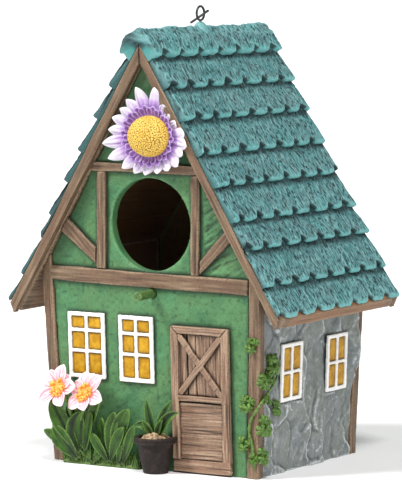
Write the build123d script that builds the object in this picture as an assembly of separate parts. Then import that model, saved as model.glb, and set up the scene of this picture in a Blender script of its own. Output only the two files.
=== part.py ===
from build123d import *
import math
import os

# Birdhouse in the shape of a timber-framed cottage. Millimetres, +Z up, the front faces -Y,
# and the origin is the centre of the base. Every wall leans outwards as it rises.

# Body of the house
BASE_HALF_X, BASE_HALF_Y = 62.0, 49.8
FLARE = 0.039
WALL = 5.5
POST_PROUD = 0.8
POST = WALL + POST_PROUD
FLOOR = 5.0
DRAIN_RADIUS, DRAIN_X, DRAIN_Y = 3.0, 30.0, 22.0

# Roof: s runs down the slope from the apex of the seam under the shingles, n stands out of it
PITCH = math.radians(58.96)
SEAM_APEX_Z = 217.1
DECK = 5.0
EAVE_TOP, EAVE_BOTTOM = 157.6, 160.8
ROOF_HALF_Y = 61.0
BARGE = 4.5
RIDGE_Z = 225.0
RIDGE_BUTT = 11.0
RIDGE_RIGHT = [(5.8, 220.2), (10.6, 212.6)]
RIDGE_LEFT = [(-8.8, 220.9), (-11.9, 213.0)]
COURSE_BUTTS = [28.5, 46.5, 66.0, 84.0, 103.8, 119.5, 140.0, 157.2]
BUTT_AT_RIDGE, BUTT_TAPER, COURSE_STEP = 6.6, 0.024, 2.1
TABS, NOTCH_WIDTH, NOTCH_DEPTH = 7, 3.0, 3.2

# Timbers on the front wall: heights of the lower edge at the left and right ends, and the depth
TIMBER = 2.0
TIE_LEFT, TIE_RIGHT, TIE_DEPTH = 94.8, 92.5, 7.7
COLLAR_LEFT, COLLAR_RIGHT, COLLAR_DEPTH = 152.4, 151.1, 4.7
HOLE_X, HOLE_Z, HOLE_RADIUS = 1.9, 125.4, 23.7
PERCH_X, PERCH_Z, PERCH_RADIUS, PERCH_REACH, SOCKET = 1.6, 90.6, 2.3, 13.4, 4.0

# Door and windows
DOOR_X, DOOR_Z, DOOR_W, DOOR_H = 13.5, 1.0, 34.0, 74.3
DOOR_STILE, DOOR_PROUD, DOOR_SILL = 4.2, 3.0, 6.5
DOOR_RAIL_Z, DOOR_RAIL = 38.5, 3.2
PLANKS, SLATS, BOARD, SLAT, BOARD_GAP = 5, 7, 1.1, 1.9, 0.6
BRACE_WIDTH, BRACE_THICK = 3.2, 1.6
FRAME_BAR, MUNTIN, FRAME_PROUD, PANE = 2.0, 1.6, 1.5, 0.8
FRONT_WINDOWS = {"left": ((-38.7, 61.7), (22.5, 34.2)), "right": ((-8.3, 61.5), (20.8, 34.2))}
FRONT_ROWS, SIDE_ROWS = (0.42, 0.34, 0.24), (0.5, 0.5)
SIDE_WINDOW, SIDE_WINDOW_CENTRES = (20.4, 29.6), [(-19.6, 51.2), (26.1, 51.0)]

# Daisy on the gable
DAISY_X, DAISY_Y, DAISY_Z = 5.6, -62.0, 170.9
DAISY_PETALS, PETAL_REACH, PETAL_WIDTH = 13, 24.5, 10.5
DISC_RADIUS, DISC_RISE, BOSS_RADIUS, LEAF_THICK = 11.5, 8.0, 7.0, 1.2

# Planting along the front: flower heads, leaf clumps from root to tips, and the pot
FLOWERS = [(-51.0, -61.0, 41.5), (-34.6, -60.0, 39.4)]
FLOWER_PETALS, FLOWER_RADIUS, FLOWER_EYE, FLOWER_FACING = 6, 12.0, 4.2, (-0.15, -0.93, 0.33)
FLOWER_CLUMP, SMALL_CLUMP = (-43.0, -54.5, 2.5), (-20.0, -54.5, 2.5)
FLOWER_CLUMP_TIPS = [(-59.0, -58.5, 31.5), (-62.5, -58.0, 17.4), (-30.0, -57.5, 28.0), (-45.0, -57.5, 29.0)]
SMALL_CLUMP_TIPS = [(-31.0, -58.5, 17.0), (-14.0, -57.5, 29.6), (-5.5, -57.0, 29.0), (-19.5, -58.5, 27.0)]
GARDEN_LEAF_WIDTH, STALK_RADIUS = 8.0, 1.1
GRASS_FROM, GRASS_TO, GRASS_REACH, GRASS_HEIGHT = -52.5, -6.0, 5.5, 4.6
POT_X, POT_Y, POT_BASE_R, POT_RIM_R, POT_H, POT_RIM_H = 6.5, -57.5, 6.3, 11.2, 18.6, 3.2
POT_LIP, POT_WALL, POT_SOIL, POT_LEAF_WIDTH = 1.1, 1.3, 2.2, 5.6
POT_LEAF_TIPS = [(2.3, -60.0, 38.0), (18.8, -60.0, 38.6), (23.0, -60.5, 32.0), (-5.5, -60.0, 23.0),
                 (10.5, -62.0, 30.0)]

# Ivy on the front right corner: (along the wall, height) of the stem, and with each leaf its radius
IVY_OUT, IVY_STEM = 0.85, 0.9
IVY_CORNER_Z = 37.0
IVY_STEM_FRONT = [(61.0, 6.0), (60.3, 16.5), (58.1, 24.4), (59.8, 31.0)]
IVY_STEM_SIDE = [(-45.0, 42.5), (-35.4, 49.4), (-33.7, 58.5)]
IVY_LEAVES_FRONT = [(61.0, 68.4, 4.4), (57.5, 38.4, 4.2), (55.3, 17.9, 4.6)]
IVY_LEAVES_SIDE = [(-40.3, 57.5, 5.2), (-48.0, 50.0, 4.4), (-46.5, 26.8, 5.0), (-35.5, 34.3, 3.8),
                   (-46.0, 11.6, 4.6)]

# Hanger on the ridge: the eye, and the link's place beside it
EYE_Y, EYE_Z, EYE_RADIUS, WIRE = -3.0, 231.0, 3.6, 0.63
SHANK_BOTTOM = 218.5
EYE_BOSS_TOP, EYE_BOSS_H, EYE_BOSS_FOOT, EYE_BOSS_TIP = 226.6, 4.8, 4.2, 1.4
LINK_LENGTH, LINK_WIDTH = 10.6, 5.4
LINK_AZIMUTH, LINK_TILT = math.radians(32.3), math.radians(34.5)
LINK_ACROSS, LINK_TOWARD, LINK_DROP = -0.5, -3.6, -1.8

# Clean-out hole, swing cover and its pivot screw on the rear wall
CLEAN_Z, CLEAN_RADIUS, COVER_RADIUS, COVER_THICK = 31.0, 17.0, 20.5, 2.2
ARM_RADIUS, TAB_WIDTH, TAB_REACH = 5.0, 9.0, 3.4
PIVOT_Z, PIVOT_RADIUS, PIVOT_CLEARANCE, RUN = 57.0, 1.6, 0.04, 0.08
SCREW_HEAD, SCREW_HEAD_H, SCREW_SLOT, SCREW_SLOT_DEPTH, SCREW_TURN = 3.4, 2.0, 0.9, 0.8, 25

# Cutting bodies run this far, past everything
FAR = 240.0

WALL_X, WALL_Y = BASE_HALF_X - POST_PROUD, BASE_HALF_Y - POST_PROUD
INNER_X, INNER_Y = BASE_HALF_X - POST, BASE_HALF_Y - POST
DECK_APEX_Z = SEAM_APEX_Z - DECK / math.cos(PITCH)
FRONT = Plane(origin=(0, -WALL_Y, 0), x_dir=(1, 0, 0), z_dir=(0, -1, -FLARE))
REAR = Plane(origin=(0, WALL_Y, 0), x_dir=(-1, 0, 0), z_dir=(0, 1, -FLARE))
RIGHT = Plane(origin=(WALL_X, 0, 0), x_dir=(0, 1, 0), z_dir=(1, 0, -FLARE))
LEFT = Plane(origin=(-WALL_X, 0, 0), x_dir=(0, -1, 0), z_dir=(-1, 0, -FLARE))


# --- helpers --------------------------------------------------------------------------------------
def write(name, *solids):
    """Write one node, as a single solid or a group of separate ones."""
    shape = solids[0] if len(solids) == 1 else Compound(children=list(solids))
    export_step(shape, f"parts/{name}.step")


def write_pair(name, right):
    """Write a right-hand node and its mirror image; name has a gap for the hand."""
    write(name.format("right"), right)
    write(name.format("left"), mirror(right, Plane.YZ))


def prism_y(points, y0, y1):
    """Extrude an outline of (x, z) points from y0 to y1."""
    face = Pos(0, y0, 0) * (Plane.XZ * Polygon(*points, align=None))
    return extrude(face, amount=y1 - y0, dir=(0, 1, 0))


def prism_x(points, x0, x1):
    """Extrude an outline of (y, z) points from x0 to x1."""
    face = Pos(x0, 0, 0) * (Plane.YZ * Polygon(*points, align=None))
    return extrude(face, amount=x1 - x0, dir=(1, 0, 0))


def raise_z(sketch, height):
    """Extrude a sketch straight up its own z axis."""
    return extrude(sketch, amount=height, dir=(0, 0, 1))


def wall_box(plane, u0, u1, v0, v1, w0, w1):
    """A box on a wall: u along it, v up it and w out of it."""
    centre = Pos((u0 + u1) / 2, (v0 + v1) / 2, (w0 + w1) / 2)
    return plane * centre * Box(u1 - u0, v1 - v0, w1 - w0)


def rod(start, end, radius):
    """A round bar between two points."""
    along = Vector(*end) - Vector(*start)
    centre = Vector(*start) + along * 0.5
    return Plane(origin=centre, z_dir=along) * Cylinder(radius, along.length)


def dome(place, radius, rise):
    """A spherical cap standing on a plane."""
    ball = (radius ** 2 + rise ** 2) / (2 * rise)
    return place * (Pos(0, 0, rise - ball) * Sphere(ball) & Pos(0, 0, rise / 2) * Cylinder(2 * radius, rise))


def blade(plane, length, width, root=0.0):
    """A flat pointed oval along a plane's x axis: a petal or a leaf."""
    half, blunt = width / 2, width / 4
    middle = root + (length - root) * 0.55
    outline = make_face([Spline((root, blunt), (middle, half), (length, 0)),
                         Spline((length, 0), (middle, -half), (root, -blunt)),
                         Line((root, -blunt), (root, blunt))])
    return plane * Pos(0, 0, -LEAF_THICK / 2) * raise_z(outline, LEAF_THICK)


def leaf(root, tip, width):
    """A leaf blade from its root to its tip, its face turned to the front."""
    along = Vector(*tip) - Vector(*root)
    face_on = along.cross(Vector(0, 1, 0)).cross(along)
    return blade(Plane(origin=root, x_dir=along, z_dir=face_on), along.length, width)


def slope(s, n, side=1):
    """The (x, z) of a point s down the roof slope and n out of it; side is 1 right, -1 left."""
    x = s * math.cos(PITCH) + n * math.sin(PITCH)
    return side * x, SEAM_APEX_Z - s * math.sin(PITCH) + n * math.cos(PITCH)


def under_roof(x):
    """Where a flaring edge that starts at x on the base meets the underside of the deck."""
    z = (DECK_APEX_Z - math.tan(PITCH) * x) / (1 + math.tan(PITCH) * FLARE)
    return x + FLARE * z, z


def gable_outline():
    """The gable end between the posts, as (x, z) points."""
    x, z = under_roof(INNER_X)
    return [(-INNER_X, 0), (INNER_X, 0), (x, z), (0, DECK_APEX_Z), (-x, z)]


def leaning(outer, inner, side=1, top=FAR):
    """A leaning band between two distances from the centre line, as points (distance, height)."""
    corners = [(outer, 0), (outer + FLARE * top, top), (inner + FLARE * top, top), (inner, 0)]
    return [(side * a, z) for a, z in corners]


def between(inner, top=FAR):
    """The flaring space between two walls, as points (distance, height)."""
    return [(-inner, 0), (inner, 0), (inner + FLARE * top, top), (-inner - FLARE * top, top)]


# --- walls, posts and floor -----------------------------------------------------------------------
def gable_wall(side):
    return prism_x(leaning(WALL_Y, INNER_Y, side), -FAR, FAR) & prism_y(gable_outline(), -FAR, FAR)


def entrance():
    return FRONT * Pos(HOLE_X, HOLE_Z, 0) * Cylinder(HOLE_RADIUS, 4 * WALL)


def perch(reach):
    """The perch peg, from the bottom of its socket to its reach out of the wall."""
    length = SOCKET + reach
    return FRONT * Pos(PERCH_X, PERCH_Z, reach - length / 2) * Cylinder(PERCH_RADIUS, length)


def gable_walls():
    write("front_wall", gable_wall(-1) - entrance() - perch(0))
    bore = REAR * Pos(0, CLEAN_Z, 0) * Cylinder(CLEAN_RADIUS, 4 * WALL)
    screw_hole = REAR * Pos(0, PIVOT_Z, 0) * Cylinder(PIVOT_RADIUS, 2 * SOCKET)
    write("rear_wall", gable_wall(1) - bore - screw_hole)


def beside(outer, span):
    """A leaning wall or post on the right, out to x = outer, under the deck, over a span of y."""
    section = [(INNER_X, 0), (outer, 0), under_roof(outer), under_roof(INNER_X)]
    return prism_y(section, -FAR, FAR) & prism_x(span, 0, FAR)


def side_walls_and_posts():
    write_pair("{}_wall", beside(WALL_X, between(INNER_Y)))
    write_pair("front_{}_post", beside(BASE_HALF_X, leaning(BASE_HALF_Y, INNER_Y, -1)))
    write_pair("rear_{}_post", beside(BASE_HALF_X, leaning(BASE_HALF_Y, INNER_Y)))


def floor_plate():
    plate = prism_y(between(INNER_X, FLOOR), -FAR, FAR) & prism_x(between(INNER_Y, FLOOR), -FAR, FAR)
    for x in (-DRAIN_X, DRAIN_X):
        for y in (-DRAIN_Y, DRAIN_Y):
            plate -= Pos(x, y, 0) * Cylinder(DRAIN_RADIUS, 4 * FLOOR)
    write("floor_plate", plate)


# --- timbers on the front wall --------------------------------------------------------------------
def on_front(points):
    """A flat timber on the front wall, from its outline, kept between the posts and the roof."""
    timber = FRONT * raise_z(Polygon(*points, align=None), TIMBER)
    return timber & prism_y(gable_outline(), -FAR, 0)


def beam(left, right, depth):
    """A beam across the whole front, its lower edge at left and right heights."""
    x = BASE_HALF_X
    return on_front([(-x, left), (x, right), (x, right + depth), (-x, left + depth)])


def front_timbers():
    tie = beam(TIE_LEFT, TIE_RIGHT, TIE_DEPTH)
    collar = beam(COLLAR_LEFT, COLLAR_RIGHT, COLLAR_DEPTH)
    low, high = TIE_RIGHT + TIE_DEPTH, COLLAR_LEFT
    left_stud = on_front([(-31.0, low), (-25.2, low), (-23.6, high), (-29.4, high)]) - tie - collar
    right_stud = on_front([(26.0, low), (31.0, low), (32.4, high), (27.6, high)]) - tie - collar - entrance()
    left_brace = on_front([(-30.0, 103.0), (-30.0, 112.0), (-58.0, 136.0), (-62.0, 128.0)])
    right_brace = on_front([(30.0, 100.0), (30.0, 107.0), (56.0, 134.0), (60.0, 128.0)])
    write("tie_beam", tie)
    write("collar_beam", collar)
    write("left_stud", left_stud)
    write("right_stud", right_stud)
    write("left_brace", left_brace - left_stud - tie)
    write("right_brace", right_brace - right_stud - tie)


# --- roof -----------------------------------------------------------------------------------------
def roof_frame():
    section = [(0, SEAM_APEX_Z), (0, DECK_APEX_Z), slope(EAVE_BOTTOM, -DECK), slope(EAVE_TOP, 0)]
    inside = ROOF_HALF_Y - BARGE
    write_pair("roof_deck_{}", prism_y(section, -inside, inside))
    write_pair("front_barge_{}", prism_y(section, -ROOF_HALF_Y, -inside))
    write_pair("rear_barge_{}", prism_y(section, inside, ROOF_HALF_Y))


def butt_height(s):
    return BUTT_AT_RIDGE - BUTT_TAPER * s


def shingle_course(top, butt, shift):
    """One wedge-shaped course on the right slope, with notches between its tabs."""
    section = [slope(top, 0), slope(top, butt_height(top) - COURSE_STEP), slope(butt, butt_height(butt)),
               slope(butt, 0)]
    course = prism_y(section, -ROOF_HALF_Y, ROOF_HALF_Y)
    on_slope = Plane(origin=(0, 0, SEAM_APEX_Z), x_dir=(0, 1, 0), z_dir=(math.sin(PITCH), 0, math.cos(PITCH)))
    half = NOTCH_WIDTH / 2
    for i in range(TABS):
        y = 2 * ROOF_HALF_Y * (i + shift) / TABS - ROOF_HALF_Y
        if y > NOTCH_WIDTH - ROOF_HALF_Y:
            notch = Polygon((y - half, -butt), (y + half, -butt), (y, NOTCH_DEPTH - butt), align=None)
            course -= on_slope * raise_z(notch, 2 * BUTT_AT_RIDGE)
    return course


def shingles():
    tops = [RIDGE_BUTT] + COURSE_BUTTS[:-1]
    for number, (top, butt) in enumerate(zip(tops, COURSE_BUTTS), start=1):
        shift = 0.5 if number % 2 else 0.0
        write_pair(f"{{}}_shingles_{number}", shingle_course(top, butt, shift))


def ridge_cap():
    right = RIDGE_RIGHT + [slope(RIDGE_BUTT, butt_height(0)), slope(RIDGE_BUTT, 0)]
    left = RIDGE_LEFT + [slope(RIDGE_BUTT, butt_height(0), -1), slope(RIDGE_BUTT, 0, -1)]
    cap = prism_y([(0, RIDGE_Z)] + right + [(0, SEAM_APEX_Z)] + left[::-1], -ROOF_HALF_Y, ROOF_HALF_Y)
    cap += Pos(0, EYE_Y, EYE_BOSS_TOP - EYE_BOSS_H / 2) * Cone(EYE_BOSS_FOOT, EYE_BOSS_TIP, EYE_BOSS_H)
    write("ridge_cap", cap - rod((0, EYE_Y, SHANK_BOTTOM), (0, EYE_Y, EYE_Z), WIRE))


# --- door and windows -----------------------------------------------------------------------------
def door():
    left, right = DOOR_X + DOOR_STILE, DOOR_X + DOOR_W - DOOR_STILE
    sill, top = DOOR_Z + DOOR_SILL, DOOR_Z + DOOR_H - DOOR_STILE
    rail_low, rail_high = DOOR_RAIL_Z - DOOR_RAIL / 2, DOOR_RAIL_Z + DOOR_RAIL / 2
    frame = wall_box(FRONT, DOOR_X, DOOR_X + DOOR_W, DOOR_Z, DOOR_Z + DOOR_H, 0, DOOR_PROUD)
    frame -= wall_box(FRONT, left, right, rail_high, top, 0, DOOR_PROUD)
    frame -= wall_box(FRONT, left, right, sill, rail_low, 0, DOOR_PROUD)
    write("door_frame", frame)
    plank, slat = (right - left) / PLANKS, (rail_low - sill) / SLATS
    boards = []
    for i in range(PLANKS):
        u = left + plank * i
        boards.append(wall_box(FRONT, u, u + plank - BOARD_GAP, rail_high, top, 0, BOARD))
    for i in range(SLATS):
        v = sill + slat * i
        boards.append(wall_box(FRONT, left, right, v, v + slat - BOARD_GAP, 0, SLAT))
    write("door_boards", *boards)
    length = math.hypot(right - left, top - rail_high)
    lean = math.degrees(math.atan2(top - rail_high, right - left))
    bar = Box(length, BRACE_WIDTH, BRACE_THICK)
    middle = Pos((left + right) / 2, (rail_high + top) / 2, BOARD + BRACE_THICK / 2)
    cross = FRONT * middle * (Rot(0, 0, lean) * bar + Rot(0, 0, -lean) * bar)
    write("door_cross_brace", cross & wall_box(FRONT, left, right, rail_high, top, 0, DOOR_PROUD))


def window(plane, centre, size, rows):
    """A framed window two panes wide: the frame with its bars, and the panes. Rows are shares of the height."""
    (u, v), (width, height) = centre, size
    left, low = u - width / 2, v - height / 2
    frame = wall_box(plane, left, left + width, low, low + height, 0, FRAME_PROUD)
    pane_w = (width - 2 * FRAME_BAR - MUNTIN) / 2
    glass = height - 2 * FRAME_BAR - (len(rows) - 1) * MUNTIN
    panes = []
    for i in range(2):
        u0 = left + FRAME_BAR + i * (pane_w + MUNTIN)
        for j, share in enumerate(rows):
            pane_h = share * glass
            v0 = low + FRAME_BAR + sum(rows[:j]) * glass + j * MUNTIN
            frame -= wall_box(plane, u0, u0 + pane_w, v0, v0 + pane_h, 0, FRAME_PROUD)
            panes.append(wall_box(plane, u0, u0 + pane_w, v0, v0 + pane_h, 0, PANE))
    return frame, panes


def windows():
    panes = []
    for name, (centre, size) in FRONT_WINDOWS.items():
        frame, glass = window(FRONT, centre, size, FRONT_ROWS)
        write(f"front_{name}_window_frame", frame)
        panes += glass
    for name, plane, sign in (("right", RIGHT, 1), ("left", LEFT, -1)):
        frames = []
        for u, v in SIDE_WINDOW_CENTRES:
            frame, glass = window(plane, (sign * u, v), SIDE_WINDOW, SIDE_ROWS)
            frames.append(frame)
            panes += glass
        write(f"{name}_window_frames", *frames)
    write("window_panes", *panes)


# --- daisy and planting ---------------------------------------------------------------------------
def daisy():
    face_on = Plane(origin=(DAISY_X, DAISY_Y, DAISY_Z), x_dir=(1, 0, 0), z_dir=(0, -1, 0))
    gap = -DAISY_Y - WALL_Y - FLARE * (DAISY_Z + BOSS_RADIUS)
    petals = face_on * (Cylinder(DISC_RADIUS, LEAF_THICK) + Pos(0, 0, -gap / 2) * Cylinder(BOSS_RADIUS, gap))
    for i in range(DAISY_PETALS):
        turn = Rot(0, 0, 360 * (i + 0.3) / DAISY_PETALS)
        petals += blade(face_on * turn, PETAL_REACH, PETAL_WIDTH, DISC_RADIUS - 2)
    write("daisy_petals", petals)
    write("daisy_disc", dome(face_on * Pos(0, 0, LEAF_THICK / 2), DISC_RADIUS - 0.6, DISC_RISE))


def flowers():
    heads, eyes = [], []
    for spot in FLOWERS:
        face_on = Plane(origin=spot, x_dir=(1, 0, 0), z_dir=FLOWER_FACING)
        head = face_on * Cylinder(FLOWER_EYE, LEAF_THICK)
        for i in range(FLOWER_PETALS):
            turn = Rot(0, 0, 360 * (i + 0.2) / FLOWER_PETALS)
            head += blade(face_on * turn, FLOWER_RADIUS, 0.6 * FLOWER_RADIUS, FLOWER_EYE / 2)
        heads.append(head)
        eyes.append(dome(face_on * Pos(0, 0, LEAF_THICK / 2), FLOWER_EYE, 0.7 * FLOWER_EYE))
    write("flower_petals", *heads)
    write("flower_centres", *eyes)


def garden_leaves():
    """Grass along the wall, two clumps of leaves, and the stalks of the flowers."""
    toe, heel = WALL_Y + GRASS_REACH, WALL_Y + 1.5
    section = [(-toe, 0), (-heel, 0), (-heel, GRASS_HEIGHT), (1.2 - toe, GRASS_HEIGHT)]
    clumps = prism_x(section, GRASS_FROM, GRASS_TO)
    for root, tips in ((FLOWER_CLUMP, FLOWER_CLUMP_TIPS), (SMALL_CLUMP, SMALL_CLUMP_TIPS)):
        for tip in tips:
            clumps += leaf(root, tip, GARDEN_LEAF_WIDTH)
    for x, y, z in FLOWERS:
        clumps += rod(FLOWER_CLUMP, (x + 0.6, y + 2.6, z - 1.8), STALK_RADIUS)
    write("garden_leaves", clumps)


def pot():
    """A round pot of soil with a plant, cut off flat where it stands against the wall and the door."""
    centre = Pos(POT_X, POT_Y, 0)
    neck = POT_RIM_R - POT_LIP
    outer = Pos(0, 0, POT_H / 2) * Cone(POT_BASE_R, neck, POT_H)
    outer += Pos(0, 0, POT_H - POT_RIM_H / 2) * Cylinder(POT_RIM_R, POT_RIM_H)
    hollow = Pos(0, 0, POT_H / 2 + POT_WALL) * Cone(POT_BASE_R - POT_WALL, neck - POT_WALL, POT_H)
    soil_top = Pos(0, 0, POT_H - POT_SOIL + FAR / 2) * Box(FAR, FAR, FAR)
    behind = wall_box(FRONT, -FAR, FAR, -FAR, FAR, -FAR, 0)
    behind += wall_box(FRONT, DOOR_X, DOOR_X + DOOR_W, -FAR, FAR, -FAR, DOOR_PROUD)
    write("plant_pot", centre * (outer - hollow) - behind)
    write("pot_soil", centre * (hollow - soil_top) - behind)
    soil_z = POT_H - POT_SOIL
    plant = rod((POT_X, POT_Y, soil_z), (POT_X, POT_Y, soil_z + 4), 1.8)
    for tip in POT_LEAF_TIPS:
        plant += leaf((POT_X, POT_Y, soil_z + 2.4), tip, POT_LEAF_WIDTH)
    write("pot_leaves", plant)


def ivy():
    """A stem that climbs the front right corner, first on the front post and then on the side."""
    out = IVY_OUT + IVY_STEM
    front_at = [FRONT.from_local_coords((u, v, out)) for u, v in IVY_STEM_FRONT]
    side_at = [RIGHT.from_local_coords((u, v, out)) for u, v in IVY_STEM_SIDE]
    round_corner = FLARE * IVY_CORNER_Z + IVY_STEM + 0.5
    corner = Vector(BASE_HALF_X + round_corner, -BASE_HALF_Y - round_corner, IVY_CORNER_Z)
    route = front_at + [corner] + side_at
    stem = Pos(*route[0]) * Sphere(IVY_STEM)
    for start, end in zip(route, route[1:]):
        stem += rod(start, end, IVY_STEM) + Pos(*end) * Sphere(IVY_STEM)
    leaves = []
    for plane, places in ((FRONT, IVY_LEAVES_FRONT), (RIGHT, IVY_LEAVES_SIDE)):
        for u, v, radius in places:
            flat = Pos(u, v, IVY_OUT) * raise_z(RegularPolygon(radius, 5), LEAF_THICK)
            leaves.append(plane * flat - stem)
    write("ivy", stem, *leaves)


# --- hanger and clean-out -------------------------------------------------------------------------
def screw_eye():
    ring = Pos(0, EYE_Y, EYE_Z) * Rot(0, 90, 0) * Torus(EYE_RADIUS, WIRE)
    write("screw_eye", ring + rod((0, EYE_Y, SHANK_BOTTOM), (0, EYE_Y, EYE_Z - EYE_RADIUS), WIRE))


def hanging_link():
    """An oval link through the eye, leaning down to the rear left over the ridge."""
    across = Vector(math.cos(LINK_AZIMUTH), math.sin(LINK_AZIMUTH), 0)
    toward = Vector(math.sin(LINK_AZIMUTH), -math.cos(LINK_AZIMUTH), 0)
    along = across * math.cos(LINK_TILT) + Vector(0, 0, math.sin(LINK_TILT))
    centre = Vector(0, EYE_Y, EYE_Z + LINK_DROP) + across * LINK_ACROSS + toward * LINK_TOWARD
    half_w = LINK_WIDTH / 2
    half_l = LINK_LENGTH / 2 - half_w
    bend = Torus(half_w, WIRE) & Pos(LINK_WIDTH, 0, 0) * Box(2 * LINK_WIDTH, 2 * LINK_WIDTH, LINK_WIDTH)
    link = Pos(half_l, 0, 0) * bend + Rot(0, 0, 180) * Pos(half_l, 0, 0) * bend
    for y in (-half_w, half_w):
        link += rod((-half_l, y, 0), (half_l, y, 0), WIRE)
    write("hanging_link", Plane(origin=centre, x_dir=along, z_dir=along.cross(toward)) * link)


def cleanout():
    """The swing cover over the clean-out hole, and the screw that it turns on."""
    plate = Pos(0, CLEAN_Z) * Circle(COVER_RADIUS)
    plate += Pos(0, (CLEAN_Z + PIVOT_Z) / 2) * Rectangle(2 * ARM_RADIUS, PIVOT_Z - CLEAN_Z)
    plate += Pos(0, PIVOT_Z) * Circle(ARM_RADIUS)
    plate += Pos(0, CLEAN_Z - COVER_RADIUS) * Rectangle(TAB_WIDTH, 2 * TAB_REACH)
    plate -= Pos(0, PIVOT_Z) * Circle(PIVOT_RADIUS + PIVOT_CLEARANCE)
    write("cleanout_cover", REAR * Pos(0, 0, RUN) * raise_z(plate, COVER_THICK))
    head_at = COVER_THICK + 2 * RUN
    screw = rod((0, PIVOT_Z, -SOCKET), (0, PIVOT_Z, head_at), PIVOT_RADIUS)
    screw += rod((0, PIVOT_Z, head_at), (0, PIVOT_Z, head_at + SCREW_HEAD_H), SCREW_HEAD)
    slot_place = Pos(0, PIVOT_Z, head_at + SCREW_HEAD_H) * Rot(0, 0, SCREW_TURN)
    screw -= slot_place * Box(3 * SCREW_HEAD, SCREW_SLOT, 2 * SCREW_SLOT_DEPTH)
    write("cleanout_screw", REAR * screw)


os.makedirs("parts", exist_ok=True)
gable_walls()
side_walls_and_posts()
floor_plate()
front_timbers()
roof_frame()
shingles()
ridge_cap()
door()
windows()
write("perch_peg", perch(PERCH_REACH))
daisy()
flowers()
garden_leaves()
pot()
ivy()
screw_eye()
hanging_link()
cleanout()
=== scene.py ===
import itertools
import math

import bpy
import numpy as np
from mathutils import Matrix, Vector
from mathutils.bvhtree import BVHTree


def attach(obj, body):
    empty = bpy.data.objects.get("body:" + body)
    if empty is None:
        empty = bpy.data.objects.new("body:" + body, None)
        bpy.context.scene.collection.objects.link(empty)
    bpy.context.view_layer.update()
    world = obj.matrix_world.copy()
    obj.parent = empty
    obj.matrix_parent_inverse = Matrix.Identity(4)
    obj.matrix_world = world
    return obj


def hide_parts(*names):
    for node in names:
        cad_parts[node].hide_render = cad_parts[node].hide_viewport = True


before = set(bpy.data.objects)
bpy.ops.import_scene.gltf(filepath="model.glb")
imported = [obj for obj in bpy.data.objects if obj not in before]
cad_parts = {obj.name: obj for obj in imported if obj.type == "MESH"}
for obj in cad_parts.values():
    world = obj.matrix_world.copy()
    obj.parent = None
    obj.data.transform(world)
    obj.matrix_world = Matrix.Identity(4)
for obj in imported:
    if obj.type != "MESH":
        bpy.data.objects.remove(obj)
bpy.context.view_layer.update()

# The looks of the cottage birdhouse: hand-painted cast resin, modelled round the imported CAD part.
# Lengths in this script are millimetres in the CAD frame; piece() turns them into metres.
MM = 0.001

# The house, as in the CAD part: the walls lean out by FLARE per millimetre of height
WALL_X, WALL_Y, FLARE, WALL_SKIN = 61.2, 49.0, 0.039, 5.1
PITCH = math.radians(58.96)
SEAM_APEX_Z, ROOF_HALF_Y = 217.1, 61.0
COURSE_TOPS = [11.0, 28.5, 46.5, 66.0, 84.0, 103.8, 119.5, 140.0]
COURSE_BUTTS = [28.5, 46.5, 66.0, 84.0, 103.8, 119.5, 140.0, 157.2]
BUTT_AT_RIDGE, BUTT_TAPER = 6.6, 0.024
RIDGE_PROFILE = [(-11.3, 211.1), (-11.9, 213.0), (-8.8, 220.9), (0, 225.0),
                 (5.8, 220.2), (10.6, 212.6), (11.3, 211.1)]
SIDE_WINDOW, SIDE_WINDOW_CENTRES = (20.4, 29.6), [(-19.6, 51.2), (26.1, 51.0)]
DOOR_LEFT, DOOR_RIGHT, DOOR_TOP, DOOR_STILE = 13.5, 47.5, 75.3, 4.2
# The entrance's centre and radius, and the eye's place on the ridge
HOLE = (1.9, 125.4, 23.7)
EYE = (0.0, -3.0)

# The camera is 32 degrees round to the right of the front, with a long lens
LOOK_AT, CAMERA_AT = (0.0, 0.0, 112.5), (848.47, -1340.9, 256.37)
LENS, SENSOR, ROLL, SHIFT = 225.73, 36.0, math.radians(-0.253), (-0.0073, -0.0056)


# --- noise and places on the house ----------------------------------------------------------------
def unit(v):
    return np.array(v, float) / np.linalg.norm(v)


def units(rows):
    return rows / np.linalg.norm(rows, axis=1)[:, None]


def circle(count):
    """Angles evenly round a circle."""
    return np.linspace(0, 2 * math.pi, count + 1)[:-1]


def scatter(cell, seed):
    """A repeatable value from 0 to 1 for each whole-number cell."""
    n = cell[..., 0] * 374761393 + cell[..., 1] * 668265263 + cell[..., 2] * 1440662683 + seed * 974711
    n = (n ^ (n >> 13)) * 1274126177
    return ((n ^ (n >> 16)) & 0xFFFF) / 0xFFFF


def noise(points, seed=0, octaves=3):
    """Smooth repeatable noise, about -1 to 1, with features one unit across."""
    p = np.asarray(points, float)
    total, weight = 0.0, 1.0
    for octave in range(octaves):
        cell = np.floor(p).astype(np.int64)
        f = p - cell
        f = f * f * (3 - 2 * f)
        value = 0.0
        for corner in itertools.product((0, 1), repeat=3):
            share = np.prod(np.where(np.array(corner) == 1, f, 1 - f), axis=-1)
            value = value + share * scatter(cell + np.array(corner), seed + octave)
        total = total + weight * (2 * value - 1)
        p = p * 2.03 + 7.1
        weight *= 0.5
    return total


def stretched(points, along, length, width):
    """Coordinates for noise whose features are length long in one direction and width across it."""
    d = unit(along)
    run = np.asarray(points) @ d
    return (points - np.outer(run, d)) / width + np.outer(run, d) / length


def noise_at(across, along, level, seed, octaves=3):
    """Noise on a surface with these two coordinates; level picks another layer of it."""
    return noise(np.stack(np.broadcast_arrays(across, along, level), -1), seed, octaves)


def smoothstep(x, low, high):
    """0 below low, 1 above high and smooth between; low and high may be the other way round."""
    t = np.clip((np.asarray(x, float) - low) / (high - low), 0, 1)
    return t * t * (3 - 2 * t)


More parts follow.
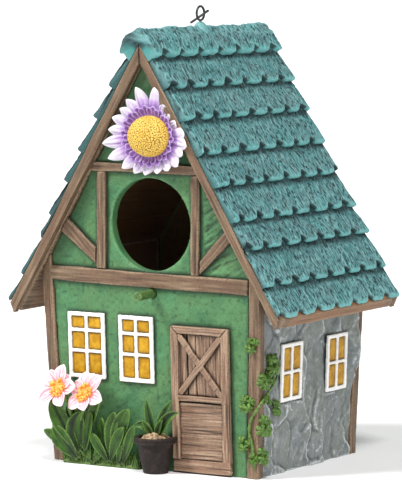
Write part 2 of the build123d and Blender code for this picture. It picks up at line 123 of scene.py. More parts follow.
def bezier(points, t):
    """Points at t on the Bezier curve with these control points."""
    t = np.asarray(t, float)[:, None]
    n = len(points) - 1
    points = np.array(points, float)
    return sum(math.comb(n, k) * (1 - t) ** (n - k) * t ** k * point for k, point in enumerate(points))


def slope(s, n, side=1):
    """x and z of a point s down the roof slope and n out of it; side is 1 right, -1 left."""
    x = s * math.cos(PITCH) + n * math.sin(PITCH)
    return side * x, SEAM_APEX_Z - s * math.sin(PITCH) + n * math.cos(PITCH)


def on_front(u, v, out=0.0):
    """A point on the front wall: u across, v up the lean, out of the wall."""
    lean = unit((0, -FLARE, 1))
    face = unit((0, -1, -FLARE))
    return np.array((u, -WALL_Y, 0)) + lean * v + face * out


def on_right(u, v, out=0.0):
    """A point on the right wall: u back along the wall, v up the lean, out of the wall."""
    return np.array((WALL_X, u, 0)) + unit((FLARE, 0, 1)) * v + unit((1, 0, -FLARE)) * out


# --- meshes ---------------------------------------------------------------------------------------
def loft(rings):
    """Points and faces of a closed skin over rings of points, with its faces turned outwards."""
    rings = np.asarray(rings, float)
    count, size = rings.shape[:2]
    points = rings.reshape(-1, 3)
    j = np.arange(size)
    k = (j + 1) % size
    a = size * np.arange(count - 1)[:, None]
    quads = np.stack([a + j, a + size + j, a + size + k, a + k], axis=-1).reshape(-1, 4)
    caps = [list(range(size)), list(range((count - 1) * size, count * size))[::-1]]
    p = points - points.mean(0)
    fans = [np.stack([np.full(size - 2, cap[0]), cap[1:-1], cap[2:]], axis=1) for cap in caps]
    corners = p[np.concatenate([quads[:, [0, 1, 2]], quads[:, [0, 2, 3]]] + fans)]
    volume = (corners[:, 0] * np.cross(corners[:, 1], corners[:, 2])).sum()
    faces = quads.tolist() + caps
    return points, faces if volume > 0 else [face[::-1] for face in faces]


def join(parts):
    """One (points, faces, along) from several."""
    points, faces, along, base = [], [], [], 0
    for p, f, a in parts:
        points.append(p)
        faces += [[base + i for i in face] for face in f]
        along.append(a)
        base += len(p)
    return np.concatenate(points), faces, np.concatenate(along)


def store(mesh, name, values):
    """Keeps a value for each vertex, for the materials to read."""
    attribute = mesh.attributes.get(name) or mesh.attributes.new(name, "FLOAT", "POINT")
    attribute.data.foreach_set("value", np.asarray(values, np.float32))


def read(mesh, what):
    """Vertex positions (co) in millimetres, or vertex normals (normal), as an array."""
    flat = np.empty(len(mesh.vertices) * 3, np.float32)
    mesh.vertices.foreach_get(what, flat)
    return flat.reshape(-1, 3).astype(float) / (MM if what == "co" else 1)


def evened(mesh, points, rounds):
    """The points after each is moved to the middle of its neighbours, so many times."""
    pairs = np.empty(len(mesh.edges) * 2, np.int32)
    mesh.edges.foreach_get("vertices", pairs)
    a, b = pairs.reshape(-1, 2).T
    count = np.maximum(np.bincount(a, minlength=len(points)) + np.bincount(b, minlength=len(points)), 1)
    for _ in range(rounds):
        total = [np.bincount(a, points[b, i], len(points)) + np.bincount(b, points[a, i], len(points))
                 for i in range(3)]
        points = np.stack(total, axis=1) / count[:, None]
    return points


def mark_relief(mesh, rounds, depth):
    """Stores how far each point stands out of its surroundings: -1 in a groove, 1 on an edge."""
    points = read(mesh, "co")
    out = ((points - evened(mesh, points, rounds)) * read(mesh, "normal")).sum(1)
    store(mesh, "relief", np.clip(out / depth, -1, 1))


def placed(name, data):
    """A new object in the scene."""
    ob = bpy.data.objects.new(name, data)
    bpy.context.scene.collection.objects.link(ob)
    return ob


def finish_piece(ob, slot, node, relief):
    """Gives a piece its material, fixes it to the house and hides the CAD node it takes the place of."""
    mark_relief(ob.data, *relief)
    ob.data.materials.clear()
    ob.data.materials.append(materials[slot])
    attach(ob, "house")
    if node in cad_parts:
        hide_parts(node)
    return ob


def piece(node, shape, slot, relief):
    """A new mesh from (points in millimetres, faces, along), in place of the CAD node if there is one."""
    points, faces, along = shape
    mesh = bpy.data.meshes.new(node + "_cast")
    mesh.from_pydata((points * MM).tolist(), [], faces)
    store(mesh, "along", along)
    mesh.shade_smooth()
    return finish_piece(placed(node + "_cast", mesh), slot, node, relief)


def closeness(points, nodes, reach):
    """How close each point is to other CAD nodes: 1 where it touches them, 0 beyond reach millimetres."""
    near = np.zeros(len(points))
    for node in nodes:
        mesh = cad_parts[node].data
        faces = [tuple(face.vertices) for face in mesh.polygons]
        tree = BVHTree.FromPolygons([vertex.co for vertex in mesh.vertices], faces)
        for i, point in enumerate(points * MM):
            found = tree.find_nearest(Vector(point), reach * MM)[3]
            if found is not None:
                near[i] = max(near[i], 1 - found / (reach * MM))
    return near


def carved(node, slot, cut, voxel=0.6, soften=2, relief=(4, 0.25), beside=(), reach=1.6,
           shade=None, along=None, bulge=None):
    """A cast-resin version of a CAD node: remeshed, with softened edges and cut by cut(points, normals).

    It gets painted shade close to the nodes beside it, where the parts meet, and where shade(points) says so.
    bulge(points) moves whole places, and no point goes below the floor."""
    ob = placed(node + "_cast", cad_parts[node].data.copy())
    remesh = ob.modifiers.new("remesh", "REMESH")
    remesh.mode = "VOXEL"
    remesh.voxel_size = voxel * MM
    evaluated = ob.evaluated_get(bpy.context.evaluated_depsgraph_get())
    mesh = bpy.data.meshes.new_from_object(evaluated)
    ob.modifiers.clear()
    ob.data = mesh
    points = evened(mesh, read(mesh, "co"), soften)
    offset, grain = cut(points, read(mesh, "normal"))
    store(mesh, "shade", np.maximum(closeness(points, beside, reach), shade(points) if shade else 0))
    if along:
        store(mesh, "along", along(points))
    points = points + read(mesh, "normal") * offset[:, None] + (bulge(points) if bulge else 0)
    store(mesh, "grain", grain)
    points[:, 2] = np.maximum(points[:, 2], 0)
    mesh.vertices.foreach_set("co", (points * MM).astype(np.float32).ravel())
    mesh.update()
    mesh.shade_smooth()
    return finish_piece(ob, slot, node, relief)


# --- materials ------------------------------------------------------------------------------------
def paint(red, green, blue, alpha=1.0):
    """A colour in 0-255 steps as the linear values that shaders take."""
    c = [v / 255 for v in (red, green, blue)]
    return [v / 12.92 if v <= 0.04045 else ((v + 0.055) / 1.055) ** 2.4 for v in c] + [alpha]


def add(tree, kind, inputs=None, **settings):
    """Adds a shader node; inputs gives sockets a value or another node's output."""
    made = tree.nodes.new("ShaderNode" + kind)
    for key, value in settings.items():
        setattr(made, key, value)
    for key, value in (inputs or {}).items():
        if isinstance(value, bpy.types.NodeSocket):
            tree.links.new(value, made.inputs[key])
        else:
            made.inputs[key].default_value = value
    return made


def mix(tree, share, a, b):
    return add(tree, "Mix", {0: share, 6: a, 7: b}, data_type="RGBA").outputs[2]


def stored(tree, name):
    """What store() kept under this name."""
    return add(tree, "Attribute", attribute_name=name).outputs["Fac"]


def spread(tree, value, low, high, to_low=0.0, to_high=1.0):
    """The value's range from low to high, stretched to another range."""
    limits = {"Value": value, "From Min": low, "From Max": high, "To Min": to_low, "To Max": to_high}
    return add(tree, "MapRange", limits).outputs[0]


def times(tree, a, b):
    return add(tree, "Math", {0: a, 1: b}, operation="MULTIPLY").outputs[0]


def texture(tree, place, size, detail=4.0, rough=0.6):
    """Noise from 0 to 1 with features of this size in millimetres."""
    inputs = {"Vector": place, "Scale": 1 / (size * MM), "Detail": detail, "Roughness": rough}
    return spread(tree, add(tree, "TexNoise", inputs).outputs[0], 0.32, 0.68)


materials = {}


def finish(name, low, high, deep, edge, tint=None, size=9.0, fleck=1.0, wash=0.9, dry=0.75, grain=0.3,
           rough=(0.45, 0.75), bump=0.3, coat=0.0, shine=0.5, metal=0.0, along=()):
    """Hand-painted resin: patches of two tones, a dark wash in the grooves, pale dry-brushed edges and
    painted shade.

    The patches of low and high, and of tint, are about size millimetres across. wash and dry are how strong
    the deep colour is in grooves and the edge colour on edges. grain is how strongly the carved grain streaks
    the colour, and along gives (place, colour with its strength as alpha) stops from a shape's start to its
    end."""
    mat = bpy.data.materials.new(name)
    mat.use_nodes = True
    tree = mat.node_tree
    shader = tree.nodes["Principled BSDF"]
    place = add(tree, "TexCoord").outputs["Object"]
    patches = texture(tree, place, size)
    flecks = texture(tree, place, fleck, 6.0, 0.7)
    colour = mix(tree, patches, paint(*low), paint(*high))
    if tint:
        colour = mix(tree, times(tree, texture(tree, place, 1.7 * size, 2.0), 0.6), colour, paint(*tint))
    streak = stored(tree, "grain")
    colour = mix(tree, spread(tree, streak, -0.2, -1.2, 0, grain), colour, paint(*deep))
    colour = mix(tree, spread(tree, streak, 0.2, 1.2, 0, grain), colour, paint(*edge))
    colour = mix(tree, spread(tree, flecks, 0.0, 0.45, 0.35, 0), colour, paint(*deep))
    if along:
        ramp = add(tree, "ValToRGB", {0: stored(tree, "along")})
        stops = ramp.color_ramp.elements
        stops[0].position, stops[1].position = along[0][0], along[-1][0]
        for where, _ in along[1:-1]:
            stops.new(where)
        for stop, (_, shade) in zip(stops, along):
            stop.color = paint(*shade)
        share = times(tree, ramp.outputs["Alpha"], spread(tree, patches, 0, 1, 0.75, 1.0))
        colour = mix(tree, share, colour, ramp.outputs["Color"])
    relief = stored(tree, "relief")
    grooves = times(tree, spread(tree, relief, -0.06, -0.6, 0, wash), spread(tree, flecks, 0, 1, 1.0, 0.7))
    colour = mix(tree, grooves, colour, paint(*deep))
    edges = times(tree, spread(tree, relief, 0.12, 0.75, 0, dry), spread(tree, flecks, 0.1, 0.7))
    colour = mix(tree, edges, colour, paint(*edge))
    # Painted shade: the stored shade darkens the colour towards deep
    colour = mix(tree, times(tree, stored(tree, "shade"), 0.92), colour, paint(*deep))
    tree.links.new(colour, shader.inputs["Base Color"])
    tree.links.new(spread(tree, flecks, 0, 1, rough[1], rough[0]), shader.inputs["Roughness"])
    height = add(tree, "Bump", {"Strength": bump, "Distance": 0.4 * MM, "Height": flecks})
    tree.links.new(height.outputs[0], shader.inputs["Normal"])
    shader.inputs["Coat Weight"].default_value = coat
    shader.inputs["Specular IOR Level"].default_value = shine
    shader.inputs["Coat Roughness"].default_value = 0.3
    shader.inputs["Metallic"].default_value = metal
    materials[name] = mat


# Inside, and behind the door, the walls are bare brown resin
BARE = (132, 94, 62)
BARE_INSIDE = [(0.0, (*BARE, 1)), (0.45, (*BARE, 1)), (0.55, (*BARE, 0)), (1.0, (*BARE, 0))]

finish("green_stucco", (50, 104, 66), (76, 132, 86), (20, 44, 28), (104, 158, 108), tint=(92, 128, 74),
       size=9, grain=0.45, dry=0.45, wash=0.8, along=BARE_INSIDE)
finish("carved_stone", (108, 116, 119), (144, 150, 151), (52, 58, 62), (216, 220, 222), tint=(122, 128, 112),
       size=9, grain=0.4, dry=0.8, wash=0.72, along=BARE_INSIDE)
finish("base_resin", (78, 70, 58), (104, 94, 78), (40, 36, 30), (140, 130, 112), size=12)
# The shingles' along stops: painted shadow dark under the butts of the course above, and a paler band at each
# butt
finish("teal_shingle", (62, 126, 128), (94, 156, 156), (10, 34, 38), (134, 190, 190), tint=(112, 138, 140),
       size=6, fleck=0.7, grain=0.8, wash=1.0, dry=0.6,
       along=[(0.0, (6, 22, 26, 1.0)), (0.10, (14, 42, 46, 0.9)), (0.22, (50, 98, 100, 0)),
              (0.84, (96, 168, 164, 0)), (0.95, (70, 162, 158, 0.7)), (1.0, (84, 178, 174, 0.85))])
finish("brown_timber", (94, 74, 56), (122, 100, 76), (42, 29, 20), (154, 132, 106), tint=(112, 80, 60),
       size=14, grain=0.65, along=BARE_INSIDE)
finish("door_timber", (118, 92, 74), (150, 124, 102), (46, 30, 20), (182, 158, 132), tint=(136, 100, 78),
       size=12, grain=0.7)
finish("white_frame", (244, 242, 236), (252, 250, 247), (150, 138, 118), (255, 255, 253),
       size=5, fleck=0.7, wash=0.6, grain=0.15, rough=(0.35, 0.55), bump=0.15)
finish("amber_pane", (172, 122, 8), (208, 158, 30), (74, 48, 8), (222, 182, 70),
       size=5, rough=(0.4, 0.6), bump=0.15, shine=0.25)
finish("daisy_petal", (190, 174, 200), (222, 212, 226), (96, 58, 128), (250, 249, 250),
       size=4, fleck=0.6, grain=0.6, wash=0.95, dry=0.35, bump=0.2,
       along=[(0.0, (92, 26, 138, 0.97)), (0.40, (130, 54, 172, 0.92)), (0.56, (172, 120, 202, 0.7)),
              (0.74, (220, 210, 228, 0.1)), (0.88, (246, 244, 246, 0.4)), (1.0, (252, 252, 252, 0.9))])
finish("daisy_disc", (206, 160, 40), (234, 192, 80), (120, 80, 20), (248, 222, 124),
       size=5, fleck=0.5, wash=0.95, bump=0.35)
finish("perch_green", (52, 80, 32), (82, 116, 56), (26, 40, 16), (150, 184, 118), size=4)
finish("pink_petal", (240, 176, 186), (248, 208, 212), (206, 104, 128), (252, 240, 242),
       size=4, fleck=0.6, grain=0.5, wash=0.8, bump=0.15,
       along=[(0.0, (224, 96, 132, 0.95)), (0.35, (238, 146, 166, 0.7)), (0.72, (248, 206, 214, 0.2)),
              (1.0, (250, 238, 240, 0.8))])
finish("orange_centre", (226, 138, 48), (242, 168, 74), (176, 80, 22), (252, 202, 100), size=3)
# Leaves darken towards their roots as painted shade deep in the clumps, and turn paler at their tips
finish("leaf_green", (18, 50, 10), (62, 104, 22), (4, 14, 3), (136, 170, 84), size=5, fleck=0.8, grain=0.6,
       wash=1.0, dry=0.55, coat=0.12, rough=(0.32, 0.6), shine=0.3,
       along=[(0.0, (4, 14, 3, 0.97)), (0.35, (18, 46, 8, 0.5)), (0.65, (62, 100, 22, 0.1)),
              (1.0, (98, 138, 50, 0.45))])
finish("pot_brown", (26, 19, 17), (40, 31, 28), (10, 8, 7), (70, 56, 48), size=7, grain=0.4, shine=0.25)
finish("pot_soil", (120, 92, 62), (170, 142, 106), (54, 38, 26), (204, 182, 146), size=2.5, wash=1.0)
finish("dark_wire", (48, 50, 50), (84, 86, 84), (20, 20, 20), (130, 130, 126), size=1.5, fleck=0.4,
       rough=(0.3, 0.5), bump=0.1, metal=0.85)
finish("cover_resin", (64, 106, 72), (90, 130, 94), (30, 54, 36), (130, 164, 130), size=7)
finish("screw_steel", (150, 152, 154), (184, 186, 188), (80, 82, 84), (220, 221, 222), size=2,
       fleck=0.3, rough=(0.25, 0.4), bump=0.1, metal=0.85)


# --- roof -----------------------------------------------------------------------------------------
# Each course is tucked under the one above it by TUCK, and is stepped down by COURSE_STEP there
COURSE_STEP, TUCK = 3.0, 5.5
COLUMNS, ROWS = 381, 40
NOTCH_HALF, NOTCH_DEPTH = 4.5, 4.4
FIRST_JOINT = [3.0, 12.0, 5.0, 14.0, 7.0, 1.5, 11.0, 4.0]
JOINT_PITCH = 17.4
# How far the grain runs aslant, how many long cracks a course has, and how deep its joints are cut
GRAIN_SLANT, CRACKS = 0.10, 16
SHALLOW_JOINT, DEEP_JOINT = 0.55, 1.6
# The capping course: how far down each side its grain and colour run, its points across, how thick its feet
# are, and the point (x, z) towards which its ends are drawn in
CAP_REACH, CAP_POINTS, CAP_SKIN, CAP_MIDDLE = 17.0, 57, 1.6, (0, 216)
# Heights and radii of the cone at the eye
EYE_CONE = [(217.0, 4.6), (221.0, 4.5), (223.5, 3.9), (225.0, 3.0), (226.2, 1.9), (226.7, 0.8)]
CONE_SIDES = 24


def butt_height(s):
    """How thick a course is at its butt, s down the slope."""
    return BUTT_AT_RIDGE - BUTT_TAPER * s


def joints_of(rng, first):
    """Where the joints between a course's shingles are along the ridge."""
    places = np.arange(first - ROOF_HALF_Y, ROOF_HALF_Y - 1.0, JOINT_PITCH)
    return places + rng.uniform(-1.3, 1.3, len(places))


def notches(rng, ys, joints):
    """How far the butt edge is cut back at each y: V notches at the joints, and a ragged edge."""
    cut = 0.5 * noise_at(ys / 2.2, 0, 0, int(rng.integers(1000)))
    for y in joints:
        width = NOTCH_HALF * rng.uniform(0.85, 1.2)
        depth = NOTCH_DEPTH * rng.uniform(0.8, 1.15)
        cut = np.maximum(cut, depth * np.clip(1 - np.abs(ys - y) / width, 0, 1))
    return cut


def shingle_detail(rng, y, s, butt, joints, groove=SHALLOW_JOINT):
    """Height and grain of split shingles: fine streaks down the slope, lumps, cracks and joint lines."""
    seed = int(rng.integers(1000))
    flow = y + GRAIN_SLANT * (s - butt)
    fine = 1.3 * noise_at(flow / 0.5, s / 2.6, 0, seed, 2)
    pits = noise_at(flow / 0.7, s / 1.3, 9, seed + 3, 2)
    lumps = noise_at(flow / 6.5, s / 8, 3, seed + 5, 2)
    height = 0.14 * fine + 0.34 * lumps - 0.34 * smoothstep(pits, 0.2, 0.8)
    for _ in range(CRACKS):
        at, lean = rng.uniform(-ROOF_HALF_Y, ROOF_HALF_Y), rng.uniform(-0.05, 0.05)
        low = butt - rng.uniform(0, 13)
        high = low - rng.uniform(5, 12)
        line = np.abs(flow - at - lean * (s - low))
        crack = np.exp(-(line / 0.3) ** 2)
        height = height - 0.5 * crack * smoothstep(s, high, high + 2) * smoothstep(-s, -low, -low + 2)
    for at in joints:
        line = np.abs(flow - at) / 0.45
        height = height - groove * np.exp(-line ** 2) * smoothstep(s, butt - 15, butt - 4)
    return height, fine - 1.5 * smoothstep(pits, 0.15, 0.7)


def shingle_course(number, side):
    """One course on one slope: notched and ragged at its butt, and tucked under the course above."""
    rng = np.random.default_rng(100 * number + (side > 0))
    top, butt = COURSE_TOPS[number - 1], COURSE_BUTTS[number - 1]
    last = number == len(COURSE_BUTTS)
    ys = np.linspace(-ROOF_HALF_Y, ROOF_HALF_Y, COLUMNS)
    joints = joints_of(rng, FIRST_JOINT[number - 1])
    cut = notches(rng, ys, joints) * (0.75 if last else 1.0)
    t = np.linspace(0, 1, ROWS) ** 0.9
    end = (butt - cut)[:, None]
    s = (top - TUCK) + (end - top + TUCK) * t[None, :]
    y = np.repeat(ys[:, None], ROWS, 1)
    detail, fine = shingle_detail(rng, y, s, butt, joints, DEEP_JOINT if last else SHALLOW_JOINT)
    high, low = butt_height(butt), butt_height(top) - COURSE_STEP
    n = low + (high - low) * np.clip((s - top) / (butt - top), 0, 1) + detail
    n -= 0.7 * smoothstep(np.abs(y), ROOF_HALF_Y - 1.6, ROOF_HALF_Y)
    nose = 2.6 if last else 1.0
    n[:, -1] -= 0.45 * nose
    n[:, -2] -= 0.12 * nose
    face = [(0.25, min(1.25 * nose, 0.45 * high)), (0.1, high * 0.62), (-0.5, high - 0.25)]
    under_s = [end[:, 0] + ds for ds, _ in face] + [np.full(COLUMNS, top - TUCK)]
    under_n = [n[:, -2] - dn for _, dn in face] + [np.full(COLUMNS, 0.15)]
    under_n = [np.maximum(v, 0.1) for v in under_n]
    ring_s = np.concatenate([s, np.stack(under_s, 1)], 1)
    ring_n = np.concatenate([n, np.stack(under_n, 1)], 1)
    x, z = slope(ring_s, ring_n, side)
    inset = 1 - 0.014 * smoothstep(-ring_s, -top, -top + 1.0)
    points, faces = loft(np.stack([x, ys[:, None] * inset, z], -1))
    along = np.clip((ring_s - top) / (butt - top), 0, 1) * 0.97
    along[:, ROWS:] = 1.0
    grain = np.concatenate([fine, np.zeros((COLUMNS, len(under_s)))], 1)
    # Painted shade in the notches and on each course's underside
    notch_shade = smoothstep(cut, 0.7, 1.6)[:, None]
    shade = np.zeros(ring_s.shape)
    shade[:, ROWS - 1:] = notch_shade
    shade[:, ROWS - 2:ROWS - 1] = 0.5 * notch_shade
    shade[:, ROWS + 1:] = np.maximum(shade[:, ROWS + 1:], 0.75)
    # Painted shade down the bottom course's joint slots
    if last:
        for at in joints:
            line = (y + GRAIN_SLANT * (s - butt) - at) / 0.5
            slot = np.exp(-line ** 2) * smoothstep(s, butt - 14, butt - 11)
            shade[:, :ROWS] = np.maximum(shade[:, :ROWS], 0.85 * slot)
    # Painted shade on the courses' ends, heavier on the left slope
    shade = np.maximum(shade, (0.8 if side < 0 else 0.4) * (np.abs(ys[:, None]) > ROOF_HALF_Y - 0.4))
    node = f"{'right' if side > 0 else 'left'}_shingles_{number}"
    ob = piece(node, (points, faces, along.ravel()), "teal_shingle", (5, 0.3))
    store(ob.data, "grain", grain.ravel())
    store(ob.data, "shade", shade.ravel())


def eye_cone():
    """The lump of resin in which the eye is screwed."""
    turn = circle(CONE_SIDES)
    rings = []
    for z, radius in EYE_CONE:
        wobble = radius * (1 + 0.07 * noise_at(np.cos(turn) * 2, np.sin(turn) * 2, z / 3, 5))
        x, y = EYE[0] + wobble * np.cos(turn), EYE[1] + wobble * np.sin(turn)
        rings.append(np.stack([x, y, turn * 0 + z], 1))
    return (*loft(rings), np.full(CONE_SIDES * len(rings), 0.5))


def ridge_cap():
    """The capping course, bent over the ridge, with notched butts and a cone at the eye."""
    rng = np.random.default_rng(7)
    ys = np.linspace(-ROOF_HALF_Y, ROOF_HALF_Y, COLUMNS)
    outline = np.array(RIDGE_PROFILE, float)
    steps = np.r_[0, np.cumsum(np.linalg.norm(np.diff(outline, axis=0), axis=1))]
    left_cut, right_cut = [notches(rng, ys, joints_of(rng, first)) for first in (6.0, 9.0)]
    rings, along, grains, shades = [], [], [], []
    share = np.linspace(0, 1, CAP_POINTS)
    inner = [slope(11.0, 0.2), (0, SEAM_APEX_Z - 0.4), slope(11.0, 0.2, -1)]
    middle = np.array(CAP_MIDDLE)
    run = left_cut[:, None] + (steps[-1] - left_cut - right_cut)[:, None] * share[None, :]
    y_grid = np.repeat(ys[:, None], CAP_POINTS, 1)
    apex = steps[3]
    away = np.abs(run - apex)
    shifted = y_grid + 2.0 * np.sign(run - apex)
    detail, fine = shingle_detail(rng, shifted, away, CAP_REACH, joints_of(rng, 9.0))
    bumps = 0.6 * noise_at(y_grid / 4.5, away / 5, 0, 77)
    detail = detail * (0.5 + 0.5 * smoothstep(away, 0, 3)) + bumps * smoothstep(-away, -9, -3)
    for i, y in enumerate(ys):
        base = np.stack([np.interp(run[i], steps, outline[:, k]) for k in (0, 1)], 1)
        for _ in range(3):
            base[1:-1] = (base[:-2] + 2 * base[1:-1] + base[2:]) / 4
        ahead = np.gradient(base, axis=0)
        normal = units(np.stack([-ahead[:, 1], ahead[:, 0]], 1))
        base = base + normal * detail[i][:, None]
        base[[0, -1]] -= normal[[0, -1]] * 0.5
        squeeze = 1 - 0.02 * smoothstep(abs(y), ROOF_HALF_Y - 1.5, ROOF_HALF_Y)
        right_foot = [base[-1] - normal[-1] * CAP_SKIN]
        left_foot = [base[0] - normal[0] * CAP_SKIN]
        ring = middle + (np.concatenate([base, right_foot, inner, left_foot]) - middle) * squeeze
        rings.append(np.stack([ring[:, 0], np.full(len(ring), y), ring[:, 1]], 1))
        along.append(np.r_[np.clip(0.3 + 0.67 * away[i] / CAP_REACH, 0, 0.97), np.ones(5)])
        grains.append(np.r_[fine[i], np.zeros(5)])
        # Painted shade on the cap's left side, heavier at its ends, and in the notches at its feet
        dark = np.where(run[i] < apex, 0.6 if abs(y) > ROOF_HALF_Y - 0.4 else 0.1, 0.0)
        dark[[0, -1]] = smoothstep(np.array([left_cut[i], right_cut[i]]), 1.0, 2.2)
        shades.append(np.r_[dark, dark[-1], np.zeros(3), dark[0]])
    cone = eye_cone()
    cap = (*loft(rings), np.concatenate(along))
    ob = piece("ridge_cap", join([cap, cone]), "teal_shingle", (5, 0.3))
    plain = np.zeros(len(cone[0]))
    store(ob.data, "grain", np.r_[np.concatenate(grains), plain])
    store(ob.data, "shade", np.r_[np.concatenate(shades), plain])


# --- walls ----------------------------------------------------------------------------------------
def roughened(depth, lump, fleck, seed, octaves=3):
    """An uneven cast surface: lumps of this depth and size in millimetres, and grain with smaller flecks."""
    def cut(points, normals):
        return depth * noise(points / lump, seed, octaves), noise(points / fleck, seed + 1)
    return cut


def stucco(points, normals):
    """Trowelled plaster, with deeper diagonal strokes in the small panel right of the entrance."""
    rough = noise(points / 1.7, 11)
    swell = noise(points / 11, 12, 2)
    strokes = noise(stretched(points, (0.87, 0, 0.5), 9, 1.5), 13, 2)
    panel = smoothstep(points[:, 0], 33, 36) * smoothstep(points[:, 2], 98, 101) * (points[:, 1] < 0)
    offset = np.clip(0.10 * rough + 0.26 * swell + (0.04 + 0.3 * panel) * strokes - 0.2, -0.8, 0.15)
    offset = np.where(points[:, 1] > 0, np.minimum(offset, -0.12), offset)
    away = np.hypot(points[:, 0] - HOLE[0], points[:, 2] - HOLE[1]) - HOLE[2]
    rim = (np.abs(away) < 0.7) & (np.abs(normals[:, 1]) < 0.75) & (points[:, 1] < 0)
    return np.where(rim, away, offset), 0.5 * rough + (0.2 + panel) * strokes


def eave_and_door_shade(points):
    """Painted shade on the gable close under the roof, where the overhang shades it, and behind the door's
    boards.
    """
    n = np.abs(points[:, 0]) * math.sin(PITCH) + (points[:, 2] - SEAM_APEX_Z) * math.cos(PITCH)
    across = smoothstep(np.abs(points[:, 0] - (DOOR_LEFT + DOOR_RIGHT) / 2), 16.5, 15.5)
    behind_door = across * smoothstep(-points[:, 2], -DOOR_TOP + 1, -DOOR_TOP + 2) * (points[:, 1] < 0)
    return np.maximum(0.66 * smoothstep(n, -18, -3), behind_door)


def painted(points):
    """1 on the outside of an end wall and round its entrance, 0 on the bare inside and behind the door."""
    outer = WALL_Y + FLARE * points[:, 2] - WALL_SKIN
    behind = (points[:, 1] < 0) & (points[:, 0] > DOOR_LEFT + 1.5) & (points[:, 0] < DOOR_RIGHT - 1.5)
    return ((np.abs(points[:, 1]) > outer) & ~(behind & (points[:, 2] < DOOR_TOP - 1.5))).astype(float)


def stone_cut(side):
    """Chiselled rock on the outside of a side wall: tilted facets, chisel marks and thin upright ridges."""
    rng = np.random.default_rng(31 + (side > 0))
    grid = [(y, z) for y in np.arange(-56, 60, 15.0) for z in np.arange(-6, 120, 19.0)]
    centres = np.array(grid) + rng.uniform(-7, 7, (len(grid), 2))
    tilt = rng.normal(0, 0.10, (len(grid), 2))
    lift = rng.uniform(-0.3, 0.5, len(grid))

    def cut(points, normals):
        flat = points[:, [1, 2]] + 3.2 * np.stack([noise(points / 10, 21, 2), noise(points / 10, 22, 2)], 1)
        apart = flat[:, None, :] - centres[None]
        distance = np.linalg.norm(apart * [1.0, 0.75], axis=2)
        share = np.exp(-(distance - distance.min(1, keepdims=True)) / 0.7)
        height = (share * (lift + (apart * tilt).sum(2))).sum(1) / share.sum(1)
        chisel = noise(stretched(points, (0, 0.35, 1), 9, 4.5), 23, 3)
        veins = noise(stretched(points, (0, 0.3, 1), 17, 8), 25, 2)
        ridges = np.exp(-(veins / 0.05) ** 2) * smoothstep(noise(points / 6, 26, 2), 0.0, 0.6)
        height += 0.34 * chisel + 0.12 * noise(points / 1.8, 24, 2) + 0.3 * ridges
        limit = np.full(len(points), 1.9)
        for y, z in SIDE_WINDOW_CENTRES:
            from_side = np.abs(points[:, 1] - y) - SIDE_WINDOW[0] / 2
            away = np.maximum(from_side, np.abs(points[:, 2] - z) - SIDE_WINDOW[1] / 2)
            limit = np.minimum(limit, 0.2 + 1.9 * smoothstep(away, 0.3, 3.0))
        outside = smoothstep(normals[:, 0] * side, 0.3, 0.7)
        return np.clip(height, -1.0, limit) * outside, (1.2 * ridges + 0.4 * chisel) * outside

    return cut


def over_post(points):
    """The right wall's rock swells out over the rear post at mid height."""
    share = smoothstep(points[:, 1], 34, 45) * smoothstep(points[:, 0], WALL_X - 2, WALL_X)
    share = share * smoothstep(np.abs(points[:, 2] - 54 - 6 * noise(points / 9, 27, 2)), 24, 8)
    return share[:, None] * np.array((1.5, 3.6, 0))


def side_outside(points):
    return (np.abs(points[:, 0]) > WALL_X + FLARE * points[:, 2] - WALL_SKIN).astype(float)


# How much is pared off the edges of the slimmest timbers
SLIMMED = {"left_brace": 1.4, "right_brace": 0.8, "left_stud": 0.3}


def timber(along, seed=0, coarse=0.26, fine=0.15, slim=0.0):
    """Lengthwise wood grain; slim is how much is pared off a front timber's edges."""
    def cut(points, normals):
        wide = noise(stretched(points, along, 34, 2.6), 40 + seed, 2)
        fibres = noise(stretched(points, along, 16, 0.75), 50 + seed, 2)
        edge = (1 - np.abs(normals[:, 1])) * (1 - np.abs(normals @ unit(along)))
        return coarse * wide + fine * fibres - 0.12 - slim * edge, fibres + 0.4 * wide
    return cut


def house_timbers():
    """The timber frame, the barge boards and the roof deck, each with its grain along its own run."""
    runs = {"tie_beam": (1, 0, -0.02), "collar_beam": (1, 0, -0.02), "left_stud": (0.03, 0, 1),
            "right_stud": (0.03, 0, 1), "left_brace": (-27, 0, 28), "right_brace": (28, 0, 30)}
    for corner in ("front_left", "front_right", "rear_left", "rear_right"):
        runs[corner + "_post"] = (0, 0, 1)
    for end in ("front", "rear"):
        runs[end + "_barge_right"] = (math.cos(PITCH), 0, -math.sin(PITCH))
        runs[end + "_barge_left"] = (-math.cos(PITCH), 0, -math.sin(PITCH))
    for seed, (node, along) in enumerate(runs.items()):
        # Painted shade where a timber meets the others whose names start with the same word
        beside = [other for other in runs if other != node and other.split("_")[0] == node.split("_")[0]]
        grain = timber(along, seed, slim=SLIMMED.get(node, 0.0))
        carved(node, "brown_timber", grain, 0.5, beside=beside, reach=0.8, along=lambda p: np.ones(len(p)))
    for side in ("left", "right"):
        carved(f"roof_deck_{side}", "brown_timber", timber((0, 1, 0), 20), voxel=0.9,
               along=lambda p: (np.abs(p[:, 1]) > WALL_Y).astype(float))


def mitred(points, normals):
    """Timber grain that turns with the door frame, and mitre joints at the top corners."""
    x, z = points[:, 0], points[:, 2]
    upright = timber((0, 0, 1), 31)(points, normals)
    level = timber((1, 0, 0), 32)(points, normals)
    to_side = np.minimum(x - DOOR_LEFT, DOOR_RIGHT - x)
    to_top = DOOR_TOP - z
    lock_rail = (to_side > DOOR_STILE) & (np.abs(z - 38.5) < 3)
    lintel = (to_top < to_side) | (z < 7.5) | lock_rail
    offset, grain = (np.where(lintel, b, a) for a, b in zip(upright, level))
    joint = np.exp(-((to_side - to_top) / 0.35) ** 2) * (to_top < DOOR_STILE + 1)
    return offset - 0.6 * joint, grain


